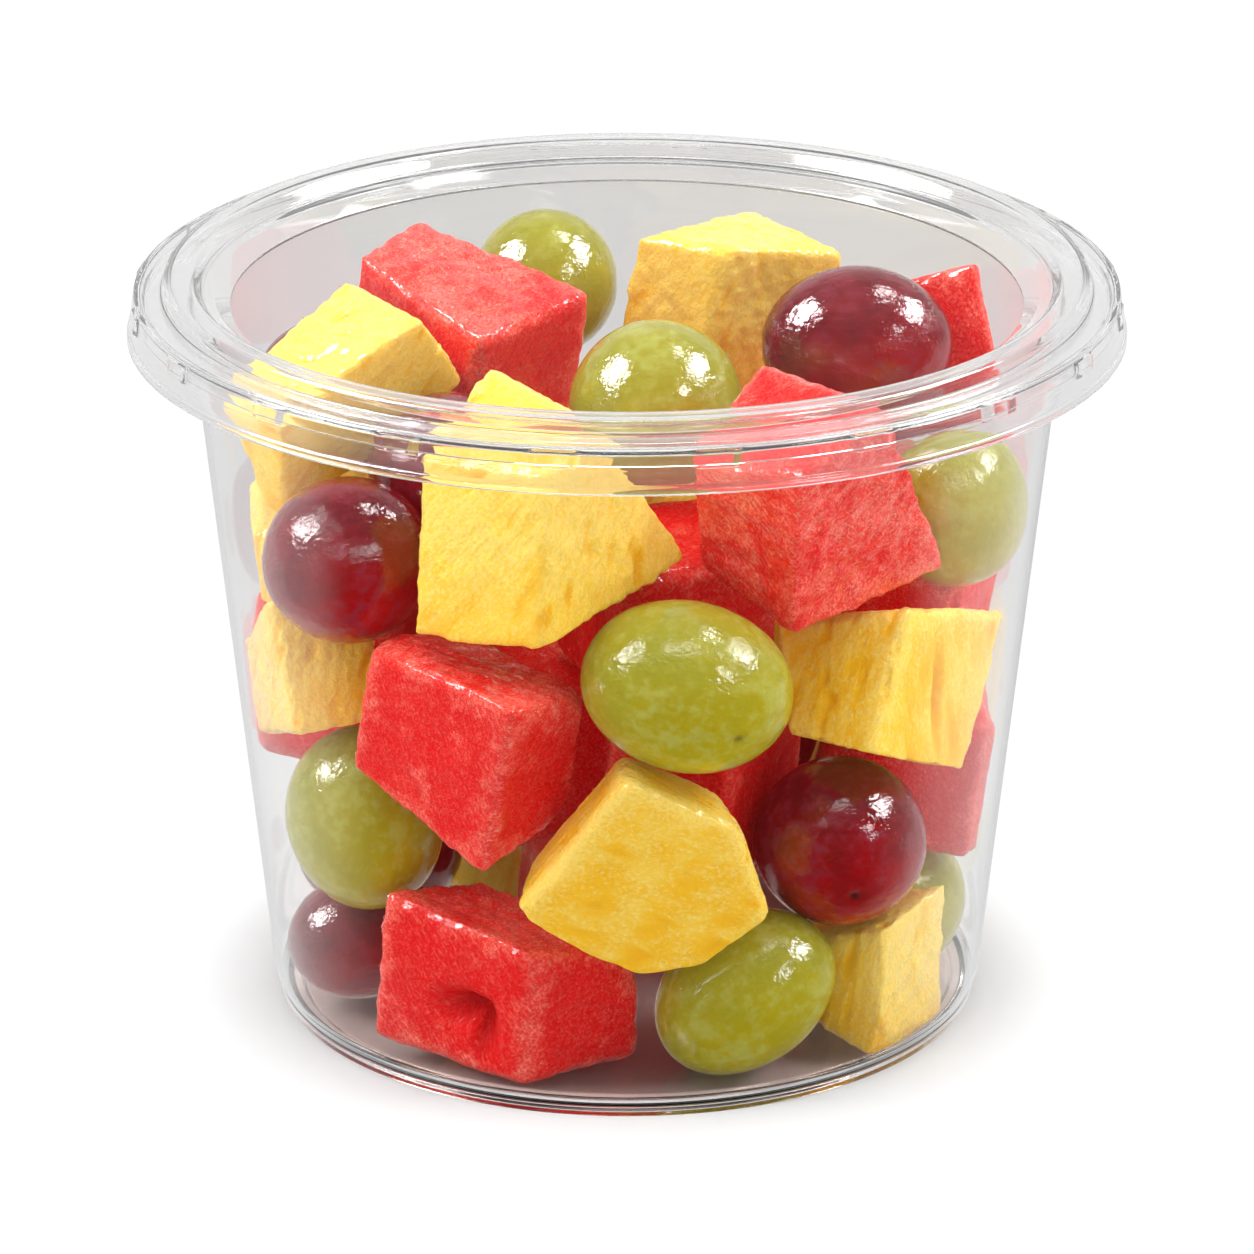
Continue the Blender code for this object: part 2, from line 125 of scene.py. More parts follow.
# The lamps, in metres and watts: name, direction, distance, width, height and power
LAMPS = (
    ("left light", (-0.74, -0.1, 0.67), 0.55, 0.2, 0.26, 1.1),
    ("right light", (0.74, -0.1, 0.66), 0.55, 0.16, 0.2, 1.0),
    ("top light", (0.0, -0.15, 1.0), 0.7, 0.3, 0.3, 1.7),
)
LAMP_TARGET_HEIGHT = 0.045

# Bright boxes that only mirrored rays meet: direction, half width and height, and brightness
BOXES = (
    ((-0.74, -0.05, 0.67), 0.27, 0.25, 30),
    ((0.74, 0.1, 0.66), 0.28, 0.15, 26),
    ((0.62, -0.58, 0.5), 0.1, 0.1, 16),
    ((0.37, 0.2, 0.9), 0.1, 0.08, 16),
)
BOX_BLUR = 0.03
ROOM_BRIGHTNESS = 0.92

# The camera, in metres and degrees
CAMERA_LENS = 210.5
CAMERA_TILT = 20.89
CAMERA_DISTANCE = 0.895
CAMERA_TARGET_HEIGHT = 0.0461

FLOOR_HALF_SIZE = 4.0


def paint(red, green, blue):
    """A display colour from 0 to 255 as a linear colour with alpha."""
    share = np.array([red, green, blue]) / 255
    linear = np.where(share < 0.04045, share / 12.92, ((share + 0.055) / 1.055) ** 2.4)
    return (*linear.tolist(), 1.0)


class Socket:
    """A node's output. Arithmetic on it adds Math nodes, and node() adds any other node."""

    def __init__(self, tree, output=None):
        self.tree = tree
        self.output = output

    def node(self, kind, inputs=(), out=0, **settings):
        """Add a node: first its settings, then its inputs' values or links."""
        item = self.tree.nodes.new(kind)
        for key, value in settings.items():
            setattr(item, key, value)
        for key, value in dict(inputs).items():
            if isinstance(value, Socket):
                self.tree.links.new(value.output, item.inputs[key])
            else:
                item.inputs[key].default_value = value
        return Socket(self.tree, item.outputs[out])

    def math(self, operation, first, second):
        """One Math node."""
        return self.node("ShaderNodeMath", {0: first, 1: second}, operation=operation)

    def __add__(self, other):
        return self.math("ADD", self, other)

    def __sub__(self, other):
        return self.math("SUBTRACT", self, other)

    def __rsub__(self, other):
        return self.math("SUBTRACT", other, self)

    def __mul__(self, other):
        return self.math("MULTIPLY", self, other)

    __radd__ = __add__
    __rmul__ = __mul__

    def ramp(self, low, high):
        """A smooth step from 0 at low to 1 at high."""
        inputs = {"Value": self, "From Min": low, "From Max": high}
        return self.node("ShaderNodeMapRange", inputs, interpolation_type="SMOOTHSTEP")

    def mix(self, first, second):
        """The first colour where this is 0 and the second where it is 1."""
        inputs = {"Factor": self, "A": first, "B": second}
        names = {"Factor": 0, "A": 6, "B": 7}
        inputs = {names[key]: value for key, value in inputs.items()}
        return self.node("ShaderNodeMix", inputs, out=2, data_type="RGBA")

    def noise(self, sizes, detail=2.0, rough=0.5, warp=0.0):
        """Noise from 0 to 1 on this vector in mm, with that size of feature along X, Y and Z."""
        inputs = {0: self, 1: tuple(1 / size for size in sizes)}
        place = self.node("ShaderNodeVectorMath", inputs, operation="MULTIPLY")
        inputs = {"Vector": place, "Scale": 1.0, "Detail": detail, "Roughness": rough}
        return self.node("ShaderNodeTexNoise", dict(inputs, Distortion=warp))

    def cells(self, size, out="Distance"):
        """Distance from the nearest of scattered points, in cells of that size."""
        inputs = {"Vector": self, "Scale": 1 / size}
        return self.node("ShaderNodeTexVoronoi", inputs, out=out)


def attribute(tree, name, out="Fac"):
    """A mesh attribute as a number or, with out "Vector", a vector."""
    return Socket(tree).node("ShaderNodeAttribute", out=out, attribute_name=name)


def finish_material(name, **inputs):
    """A new Principled material, its node tree, and a function that sets the shader's inputs."""
    material = bpy.data.materials.new(name)
    material.use_nodes = True
    tree = material.node_tree
    shader = tree.nodes["Principled BSDF"]

    def connect(**links):
        for key, value in links.items():
            socket = shader.inputs[key.replace("_", " ")]
            if isinstance(value, Socket):
                tree.links.new(value.output, socket)
            else:
                socket.default_value = value

    connect(**inputs)
    return material, tree, connect


def bump(height, distance):
    """A Bump node whose height of 1 stands that many millimetres proud."""
    inputs = {"Strength": 1.0, "Distance": distance * MM, "Height": height}
    return height.node("ShaderNodeBump", inputs)


def glints(grain, inset, size):
    """Where a cut face glistens: small grains that crowd along its edges and in wet patches."""
    patch = grain.noise((4.0, 4.0, 4.0), 2.0)
    grains = grain.noise((size, size, size), 2.0, 0.6)
    edge = 1 - inset.ramp(0.2, 1.6)
    return (grains + patch * 0.5 + edge * 0.17).ramp(0.84, 0.9)


def melon_flesh():
    """Watermelon: clear deep red, frosted salmon near edges, with short pale fibres and glints."""
    # Painted glow: the flesh emits a little of its own colour, standing in for light shining
    # through it.
    material, tree, connect = finish_material(
        "melon flesh", Subsurface_Weight=0.2, Subsurface_Radius=(1.0, 0.15, 0.1),
        Subsurface_Scale=0.0015, Roughness=0.5, Specular_IOR_Level=0.12, Emission_Strength=0.07,
        Coat_Roughness=0.12, Coat_IOR=1.7,
    )
    grain = attribute(tree, "grain", "Vector")
    inset = attribute(tree, "inset")
    rim = 1 - inset.ramp(0.0, 4.0)
    # Painted shade: the seed hollows are marked in this attribute, and there the flesh is turned a
    # deeper, less frosted red.
    hollow = attribute(tree, "ripe_and_shade")
    cloud = grain.noise((7.0, 7.0, 7.0), 3.0)
    patch = grain.noise((1.8, 1.8, 1.8), 3.0)
    fine = grain.noise((0.45, 0.45, 0.45), 2.0, 0.6)
    long_fibres = grain.noise((1.3, 0.24, 0.24), 2.0, 0.5, 0.4).ramp(0.54, 0.68)
    cross_fibres = grain.noise((0.24, 0.24, 1.1), 2.0, 0.5, 0.4).ramp(0.56, 0.7)
    frost = (rim * 0.3 + cloud * 1.1 + patch * 0.5 - hollow * 0.7).ramp(0.8, 1.36)
    flecks = (long_fibres * 0.55 + cross_fibres * 0.5) * (frost * 0.75 + 0.2)
    crystals = (fine + patch * 0.4).ramp(0.66, 0.86)
    color = frost.mix(paint(222, 12, 14), paint(241, 72, 60))
    color = (crystals * (frost * 0.4 + 0.1)).mix(color, paint(252, 136, 118))
    color = flecks.mix(color, paint(254, 178, 158))
    # Painted shade: deeper red in the seed hollows.
    color = (hollow * 0.8).mix(color, paint(176, 4, 8))
    connect(
        Base_Color=color,
        Emission_Color=color,
        Coat_Weight=glints(grain, inset, 0.28),
        Normal=bump(fine + flecks * 0.5 + patch * 0.8, 0.2),
    )
    return material


def pineapple_flesh():
    """Pineapple: golden inside and pale towards its edges, streaked along the fibres."""
    # Painted glow: the flesh emits a little of its own colour, standing in for light shining
    # through it.
    material, tree, connect = finish_material(
        "pineapple flesh", Subsurface_Weight=0.25, Subsurface_Radius=(1.0, 0.5, 0.08),
        Subsurface_Scale=0.002, Roughness=0.45, Specular_IOR_Level=0.12, Emission_Strength=0.06,
        Coat_Roughness=0.12, Coat_IOR=1.7,
    )
    grain = attribute(tree, "grain", "Vector")
    inset = attribute(tree, "inset")
    # This attribute marks ripe streaks along the furrows, and also painted shade in the grooves and
    # on the lower edges; all of these are turned golder and amber.
    ripe_and_shade = attribute(tree, "ripe_and_shade")
    rim = 1 - inset.ramp(0.0, 3.5)
    streaks = grain.noise((8.0, 1.5, 1.5), 3.0, 0.55, 0.4)
    threads = grain.noise((3.5, 0.35, 0.35), 2.0, 0.6, 0.2)
    cloud = grain.noise((6.0, 4.5, 4.5), 3.0)
    fine = grain.noise((0.6, 0.45, 0.45), 2.0, 0.6)
    gold = (streaks * 0.8 + cloud * 1.0 + ripe_and_shade * 0.3 - rim * 0.3).ramp(0.72, 1.08)
    amber = (ripe_and_shade * 0.6 + streaks * 0.5 + cloud * 0.3).ramp(0.68, 1.5)
    pale = (threads * 0.4 + fine * 0.7 + rim * 0.15 - ripe_and_shade * 0.2).ramp(0.5, 0.75)
    color = gold.mix(paint(248, 204, 72), paint(246, 190, 34))
    color = amber.mix(color, paint(234, 152, 10))
    color = (pale * 0.5).mix(color, paint(254, 230, 136))
    connect(
        Base_Color=color,
        Emission_Color=color,
        Coat_Weight=glints(grain, inset, 0.32),
        Normal=bump(threads * 0.3 + streaks + fine * 0.9, 0.16),
    )
    return material


def grape_skin(name, body, light, heart_and_painted_glow, bloom, scar_color, radius):
    """A grape: mottled clear skin, a deeper middle tone partly painted as light shining through, a
    thin bloom, fine dots and a stem scar.
    """
    # Painted glow: the skin emits a little of its own colour, standing in for light shining through
    # it.
    material, tree, connect = finish_material(
        name, Subsurface_Weight=0.5, Subsurface_Radius=radius, Subsurface_Scale=0.004, IOR=1.65,
        Emission_Strength=0.06,
    )
    grain = attribute(tree, "grain", "Vector")
    painted_glow = attribute(tree, "painted_glow")
    scar = attribute(tree, "scar")
    cloud = grain.noise((6.0, 6.0, 6.0), 3.0)
    mottle = grain.noise((1.5, 1.5, 1.5), 4.0, 0.65)
    veins = grain.noise((5.0, 0.9, 0.9), 3.0, 0.6, 0.5)
    dots = 1 - grain.cells(0.9).ramp(0.05, 0.14)
    # Painted glow: where the glow attribute is high the skin takes the heart colour, as if lit
    # through; the cloud noise adds an uneven deeper tone of its own.
    color = (painted_glow * 0.6 + cloud * 1.2).ramp(0.4, 1.3).mix(body, heart_and_painted_glow)
    color = ((veins * 0.6 + mottle * 0.6).ramp(0.5, 0.95) * 0.3).mix(color, light)
    color = ((mottle * 0.5 + cloud * 0.5).ramp(0.47, 0.65) * 0.5).mix(color, bloom)
    color = (dots * 0.4).mix(color, light)
    color = scar.mix(color, scar_color)
    fine = grain.noise((0.5, 0.5, 0.5), 2.0)
    wrinkle = grain.noise((1.6, 1.0, 1.0), 2.0, 0.5, 0.6)
    connect(
        Base_Color=color,
        Emission_Color=color,
        Roughness=0.02 + mottle * 0.06,
        Normal=bump(fine * 0.3 + wrinkle * 0.6 + grain.noise((3.5, 3.5, 3.5), 2.0), 0.16),
    )
    return material


def mix_output(tree, factor, first, second):
    """Give a material the first shader where factor is 0 and the second where it is 1."""
    both = first.node("ShaderNodeMixShader", {0: factor, 1: first, 2: second})
    tree.links.new(both.output, tree.nodes["Material Output"].inputs["Surface"])


def clear_finish(name, color, index, lamp_share=0.97, clearness=1.0, roughness=0.02):
    """A clear material, as plastic or juice: it refracts, yet lets the lamps through unbent."""
    material, tree, _ = finish_material(
        name, Base_Color=color, Roughness=roughness, IOR=index, Transmission_Weight=clearness,
    )
    maker = Socket(tree)
    shader = Socket(tree, tree.nodes["Principled BSDF"].outputs[0])
    lamp_ray = maker.node("ShaderNodeLightPath", out="Is Shadow Ray")
    through = maker.node("ShaderNodeBsdfTransparent", {"Color": (lamp_share,) * 3 + (1.0,)})
    mix_output(tree, lamp_ray, shader, through)
    return material


def lid_film():
    """The lid's flat panel: so thin and clear that only a faint gloss shows."""
    material, tree, _ = finish_material("clear lid film")
    maker = Socket(tree)
    through = maker.node("ShaderNodeBsdfTransparent", {"Color": (1.0, 1.0, 1.0, 1.0)})
    gloss = maker.node("ShaderNodeBsdfGlossy", {"Roughness": 0.03})
    mix_output(tree, 0.015, through, gloss)
    tree.nodes.remove(tree.nodes["Principled BSDF"])
    return material


def lattice_noise(points, size, seed):
    """Smooth noise from -1 to 1: random values on a cubic lattice, blended by smoothstep."""
    place = points / size + seed * 17.31
    cell = np.floor(place)
    part = place - cell
    part = part * part * (3 - 2 * part)
    total = np.zeros(len(points))
    for corner in np.ndindex(2, 2, 2):
        weight = np.prod(np.where(np.array(corner) > 0, part, 1 - part), axis=1)
        key = (cell + corner) @ np.array([127.1, 311.7, 74.7])
        total += weight * np.modf(np.sin(key) * 43758.5453)[0]
    return total


def ball_grid(cells):
    """Six square grids, one on each side of a cube of half size 1, welded: points and quads.

    A side's point is (a, b, 1) for a and b from -1 to 1 in equal steps, with its axes turned round.
    """
    steps = np.linspace(-1, 1, cells + 1)
    first, second = (grid.ravel() for grid in np.meshgrid(steps, steps, indexing="ij"))
    one = np.ones_like(first)
    number = np.arange((cells + 1) ** 2).reshape(cells + 1, cells + 1)
    quad = np.stack([number[:-1, :-1], number[1:, :-1], number[1:, 1:], number[:-1, 1:]], -1)
    quad = quad.reshape(-1, 4)
    points, quads = [], []
    for axis in range(3):
        for side in (1.0, -1.0):
            face = np.stack([first, second * side, one * side], -1)
            quads.append(quad + len(points) * len(one))
            points.append(np.roll(face, axis, axis=1))
    points, quads = np.vstack(points), np.vstack(quads)
    keys = np.round((points + 1) * cells).astype(np.int64) @ np.array([1, 10**4, 10**8])
    _, keep, place = np.unique(keys, return_index=True, return_inverse=True)
    return points[keep], place.reshape(-1)[quads]


DROP_POINTS, DROP_QUADS = ball_grid(2)
DROP_POINTS = DROP_POINTS / np.linalg.norm(DROP_POINTS, axis=1)[:, None]


def add_piece(name, points, faces, material, attributes=()):
    """Make a mesh object from points in mm and faces, riding on the cup's body."""
    mesh = bpy.data.meshes.new(name)
    mesh.from_pydata(np.asarray(points) * MM, [], faces)
    mesh.shade_smooth()
    for key, values in dict(attributes).items():
        kind, field = ("FLOAT_VECTOR", "vector") if values.ndim == 2 else ("FLOAT", "value")
        layer = mesh.attributes.new(key, kind, "POINT")
        layer.data.foreach_set(field, values.astype(np.float32).ravel())
    mesh.materials.append(material)
    item = bpy.data.objects.new(name, mesh)
    bpy.context.scene.collection.objects.link(item)
    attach(item, "root")
    return item


def solid_triangles(node):
    """The corners of a solid's triangles in mm, as an array of triangles by corners by XYZ."""
    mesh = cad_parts[node].data
    mesh.calc_loop_triangles()
    corners = np.empty(len(mesh.vertices) * 3)
    mesh.vertices.foreach_get("co", corners)
    index = np.empty(len(mesh.loop_triangles) * 3, dtype=np.int32)
    mesh.loop_triangles.foreach_get("vertices", index)
    return corners.reshape(-1, 3)[index].reshape(-1, 3, 3) / MM


class Flats:
    """The flat faces of a convex solid: their directions, distances from its middle, and areas."""

    def __init__(self, node):
        triangles = solid_triangles(node)
        cross = np.cross(triangles[:, 1] - triangles[:, 0], triangles[:, 2] - triangles[:, 0])
        area = np.linalg.norm(cross, axis=1) / 2
        keep = area > 1e-4
        triangles, area = triangles[keep], area[keep]
        normal = cross[keep] / area[:, None] / 2
        self.middle = (triangles.mean(axis=1) * area[:, None]).sum(axis=0) / area.sum()
        _, group = np.unique(np.round(normal * 25), axis=0, return_inverse=True)
        group = group.reshape(-1)
        self.area = np.bincount(group, area)
        sums = np.stack([np.bincount(group, area * normal[:, axis]) for axis in range(3)], -1)
        self.normal = sums / np.linalg.norm(sums, axis=1)[:, None]
        reach = ((triangles - self.middle) * self.normal[group][:, None, :]).sum(axis=2)
        self.reach = np.bincount(group, area * reach.mean(axis=1)) / self.area
        corners = triangles.reshape(-1, 3) - self.middle
        upright = self.normal[self.area.argmax()]
        lean = self.area * (1 - np.abs(self.normal @ upright)) ** 2
        across = self.normal[lean.argmax()]
        across = across - upright * (across @ upright)
        across /= np.linalg.norm(across)
        self.axes = np.stack([across, np.cross(upright, across), upright])
        self.half = np.abs(corners @ self.axes.T).max(axis=0)

    def radius(self, directions, crispness=220.0):
        """How far the solid reaches along unit directions, its edges softened.

        With x as the cosine to a flat over that flat's distance, it is the sum of x to a high
        power, over all flats, to the power of minus one over that power.
        """
        share = np.maximum(directions @ self.normal.T, 0) / self.reach
        top = share.max(axis=1)
        return ((share / top[:, None]) ** crispness).sum(axis=1) ** (-1 / crispness) / top

    def edge_distance(self, points):
        """Distance in mm from the nearest edge between two of the large flats."""
        large = self.area > 0.035 * self.area.sum()
        room = self.reach[large] - points @ self.normal[large].T
        return np.sort(room, axis=1)[:, 1]


def surface_normals(points, quads):
    """Unit normals at a grid's points: the sum of the normals of the quads round each."""
    corner = points[quads]
    cross = np.cross(corner[:, 2] - corner[:, 0], corner[:, 3] - corner[:, 1])
    total = np.zeros_like(points)
    for turn in range(4):
        for axis in range(3):
            total[:, axis] += np.bincount(quads[:, turn], cross[:, axis], len(points))
    return total / np.linalg.norm(total, axis=1)[:, None]


def fruit_piece(name, node, middle, points, quads, material, attributes):
    """Add a piece of fruit, with its attributes, in place of its solid."""
    item = add_piece(name, points + middle, quads, material, attributes)
    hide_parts(node)
    return item


class Drops:
    """Drops of juice gathered from many pieces of fruit, each half sunk and squashed a little."""

    def __init__(self):
        self.balls = []

    def scatter(self, points, quads, middle, weight, count, sizes, seed):
        """Sit drops on a surface at points drawn by weight; most are near the smaller size."""
        rng = np.random.default_rng(seed)
        chosen = rng.choice(len(points), count, p=weight / weight.sum())
        normal = surface_normals(points, quads)[chosen]
        size = sizes[0] + (sizes[1] - sizes[0]) * rng.random(count) ** 3
        shift = rng.normal(size=(count, 3)) * 0.15
        along = (DROP_POINTS @ rng.normal(size=3))[None, :, None] * 0.1
        ball = DROP_POINTS[None] * (1 + along)
        flat = (ball * normal[:, None]).sum(axis=2, keepdims=True) * normal[:, None] * 0.45
        places = points[chosen] + middle + shift - normal * (shift * normal).sum(axis=1)[:, None]
        self.balls.append(places[:, None] + (ball - flat) * size[:, None, None])

    def add(self, name, kind, material):
        """Make one piece of every drop gathered."""
        balls = np.vstack(self.balls)
        quads = DROP_QUADS[None] + np.arange(len(balls))[:, None, None] * len(DROP_POINTS)
        item = add_piece(name, balls.reshape(-1, 3), quads.reshape(-1, 4), material)


def cut_cube(node, material, fibres, relief, drops, seed, low_edge_painted_shade=0.0):
    """A cut cube of fruit: its solid's softened form, pitted or ridged along its fibres."""
    flats = Flats(node)
    middle = flats.middle
    front = middle[1] < 0 or middle[2] > 62
    points, quads = ball_grid(FRONT_CELLS if front else BACK_CELLS)
    points = points * flats.half @ flats.axes
    directions = points / np.linalg.norm(points, axis=1)[:, None]
    points = directions * flats.radius(directions)[:, None]
    inset = flats.edge_distance(points)
    along = np.array(fibres, dtype=float)
    along /= np.linalg.norm(along)
    across = np.cross(along, (0.0, 0.3, 1.0) if abs(along[2]) < 0.8 else (0.3, 1.0, 0.0))
    across /= np.linalg.norm(across)
    turn = np.stack([along, across, np.cross(along, across)], -1)
    grain = points @ turn + seed * 13.7
    height, ripe_and_shade = relief(grain, inset, seed)
    # Painted shade: each hollow is sunk and also marked in the same attribute as the ripe streaks,
    # so the flesh inside it is coloured darker.
    for place, reach, depth in HOLLOWS.get(node, ()):
        apart = (points + middle - place) / reach
        dent = np.exp(-((apart**2).sum(axis=1) ** 1.5))
        height -= dent * depth
        ripe_and_shade = np.maximum(ripe_and_shade, dent)
    # Painted shade: edges low on a piece and facing down are marked to turn amber, like flesh lit
    # through in shade.
    low_edge_shade = np.exp(-((inset / 2.5) ** 2)) * np.clip(0.1 - directions[:, 2], 0, 1)
    ripe_and_shade = np.minimum(ripe_and_shade + low_edge_shade * low_edge_painted_shade, 1)
    points = points + directions * height[:, None]
    extra = {"grain": grain, "inset": inset, "ripe_and_shade": ripe_and_shade}
    fruit_piece(node + "_flesh", node, middle, points, quads, material, extra)
    patch = np.maximum(lattice_noise(grain, 4.0, seed + 3) + 0.25, 0.01)
    upward = np.maximum(directions[:, 2] * 0.5 + 0.5, 0.05)
    weight = (np.exp(-((inset / 1.2) ** 2)) * 5 + 0.3) * patch * upward
    count = FRONT_DROPS if front else BACK_DROPS
    drops.scatter(points, quads, middle, weight, count, CUBE_DROP_SIZES, seed)


def melon_relief(grain, inset, seed):
    """Grainy pits, and edges worn into shallow scallops, all inwards; melon has no ripe streaks."""
    scallops = 0.5 + 0.5 * lattice_noise(grain, 1.9, seed)
    teeth = 0.5 + 0.5 * lattice_noise(grain, 1.1, seed + 4)
    edge = np.exp(-((inset / 0.9) ** 2))
    waves = lattice_noise(grain, 5.0, seed + 2) * 0.3
    grains = lattice_noise(grain, 0.9, seed + 1) * 0.09
    return grains + waves - edge * (scallops * 0.55 + teeth * 0.3), np.zeros(len(grain))


def pineapple_relief(grain, inset, seed):
    """Furrows along the fibres and finely toothed edges; furrows are the ripe streaks."""
    stretched = grain / np.array([5.0, 1.0, 1.0])
    furrows = lattice_noise(stretched, 1.6, seed)
    ripe_and_shade = np.clip(furrows * 1.3 - 0.25, 0, 1)
    teeth = 0.5 + 0.5 * lattice_noise(grain, 1.2, seed + 1)
    scallops = 0.5 + 0.5 * lattice_noise(grain, 2.6, seed + 4)
    ridges = lattice_noise(stretched, 0.6, seed + 2) * 0.07
    waves = lattice_noise(grain, 5.5, seed + 3) * 0.3
    edge = np.exp(-((inset / 0.9) ** 2))
    return ridges + waves - ripe_and_shade * 0.35 - edge * (teeth * 0.45 + scallops * 0.3), ripe_and_shade


def grape(node, material, scar_direction, drops, seed):
    """A grape: an ellipsoid on its solid's axes, slightly uneven, with a sunken stem scar."""
    corners = solid_triangles(node).reshape(-1, 3)
    unique = np.unique(np.round(corners, 3), axis=0)
    middle = (unique.max(axis=0) + unique.min(axis=0)) / 2
    _, _, axes = np.linalg.svd(unique - unique.mean(axis=0), full_matrices=False)
    axes[2] = np.cross(axes[0], axes[1])
    lengths = (unique - middle) @ axes.T
    if lengths[:, 0].max() > -lengths[:, 0].min():
        axes[:2] *= -1
        lengths = (unique - middle) @ axes.T
    half = np.maximum(np.abs(lengths).max(axis=0), 1)
    points, quads = ball_grid(GRAPE_CELLS)
    unit = points / np.linalg.norm(points, axis=1)[:, None]
    stem = np.array([1.0, 0.0, 0.0])
    if scar_direction is not None:
        stem = np.array(scar_direction) @ axes.T
        stem /= np.linalg.norm(stem)
    apart = np.degrees(np.arccos(np.clip(unit @ stem, -1, 1)))
    grain = unit * half + seed * 11.3
    swell = lattice_noise(grain, 7.0, seed) * 0.1 - 0.1 - 0.5 * np.exp(-((apart / 5.0) ** 2))
    scar = np.exp(-((apart / 3.2) ** 4))
    points = (unit * half + unit * swell[:, None]) @ axes
    # Painted glow: the side of the grape towards the front and below is marked to take its heart
    # colour, as if lit through.
    painted_glow = np.clip(unit @ axes @ np.array([0.3, -0.85, -0.43]), 0, 1) ** 2
    attributes = {"grain": grain, "scar": scar, "painted_glow": painted_glow}
    fruit_piece(node + "_skin", node, middle, points, quads, material, attributes)
    weight = np.maximum(points[:, 2] / 10 * 0.5 + 0.6, 0.03)
    weight = weight * np.maximum(lattice_noise(grain, 4.0, seed + 3) + 0.2, 0.01)
    drops.scatter(points, quads, middle, weight, GRAPE_DROPS, GRAPE_DROP_SIZES, seed)


def rounded(corners, steps=5):
    """An outline of (radius, height, bend): each corner with a bend becomes a short curve.

    The curve from the point one bend before the corner to the point one bend after it is
    (1-t)^2 before + 2t(1-t) corner + t^2 after.
    """
    places = np.array([corner[:2] for corner in corners])
    outline = []
    for number, corner in enumerate(corners):
        if corner[2] == 0:
            outline.append(places[number][None])
            continue
        before = places[number - 1] - places[number]
        after = places[(number + 1) % len(places)] - places[number]
        start = before / np.linalg.norm(before) * min(corner[2], np.linalg.norm(before) * 0.45)
        end = after / np.linalg.norm(after) * min(corner[2], np.linalg.norm(after) * 0.45)
        step = np.linspace(0, 1, steps)[:, None]
        outline.append(places[number] + start * (1 - step) ** 2 + end * step**2)
    return np.vstack(outline)


def turned(outline, closed, steps=TURN_STEPS):
    """Points and faces of an outline of (radius, height) turned round Z.

    A closed outline joins its end to its start; an open one starts and ends on the axis.
    """
    angle = np.arange(steps) * math.tau / steps
    ring = outline if closed else outline[1:-1]
    radius, height = ring[:, :1], ring[:, 1:]
    points = np.stack([radius * np.cos(angle), radius * np.sin(angle), height + 0 * angle], -1)
    number = np.arange(len(ring) * steps).reshape(len(ring), steps)
    rows = np.vstack([number, number[:1]]) if closed else number
    here, there = rows[:-1], rows[1:]
    onward = [np.roll(here, -1, axis=1), np.roll(there, -1, axis=1)]
    faces = np.stack([here, onward[0], onward[1], there], -1).reshape(-1, 4).tolist()
    points = points.reshape(-1, 3)
    if not closed:
        points = np.vstack([points, [[0, 0, outline[0, 1]], [0, 0, outline[-1, 1]]]])
        low, high = len(points) - 2, len(points) - 1
        first, last = number[0], number[-1]
        faces += np.stack([np.full(steps, low), np.roll(first, -1), first], -1).tolist()
        faces += np.stack([np.full(steps, high), last, np.roll(last, -1)], -1).tolist()
    return points, faces


def wall_radius(height):
    """The outer radius of the cup's cone at a height."""
    return WALL_START_RADIUS + WALL_SLOPE * (height - WALL_START_HEIGHT)


def make_cup(material):
    """The cup: floor, foot ring, heel, cone and the flange with its turned-down lip."""
    top = WALL_END_HEIGHT
    outline = rounded([
        (0.0, 0.7, 0),
        (39.8, 0.7, 0.3),
        (40.3, 0.0, 0.3),
        (FOOT_RADIUS, 0.0, 0.8),
        (FOOT_RADIUS + 0.2, 2.6, 0.3),
        (WALL_START_RADIUS, WALL_START_HEIGHT, 0.4),
        (wall_radius(top), top, 0.5),
        (wall_radius(top) + 0.4, FLANGE_TOP - WALL, 0.4),
        (FLANGE_RADIUS - WALL, FLANGE_TOP - WALL, 0.3),
        (FLANGE_RADIUS - WALL, 87.6, 0.1),
        (FLANGE_RADIUS, 87.6, 0.1),
        (FLANGE_RADIUS, FLANGE_TOP, 0.8),
        (wall_radius(top), FLANGE_TOP, 0.6),
        (wall_radius(top) - WALL, top, 0.6),
        (WALL_START_RADIUS - WALL, WALL_START_HEIGHT, 0.5),
        (FOOT_RADIUS - 0.5, 2.4, 0.3),
        (FOOT_RADIUS - 0.8, FLOOR_TOP, 0.8),
        (0.0, FLOOR_TOP, 0),
    ])
    points, faces = turned(outline, closed=False)
    item = add_piece("cup_shell", points, faces, material)
    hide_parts("cup")


def make_juice(material):
    """A thin pool of juice on the cup's floor, drawn up a little towards the wall."""
    outline = rounded([
        (0.0, FLOOR_TOP + 0.02, 0),
        (41.4, FLOOR_TOP + 0.02, 0.3),
        (42.1, 2.3, 0.2),
        (41.6, JUICE_TOP + 0.05, 0.5),
        (40.6, JUICE_TOP, 0.4),
        (0.0, JUICE_TOP, 0),
    ])
    points, faces = turned(outline, closed=False)
    item = add_piece("juice_pool", points, faces, material)


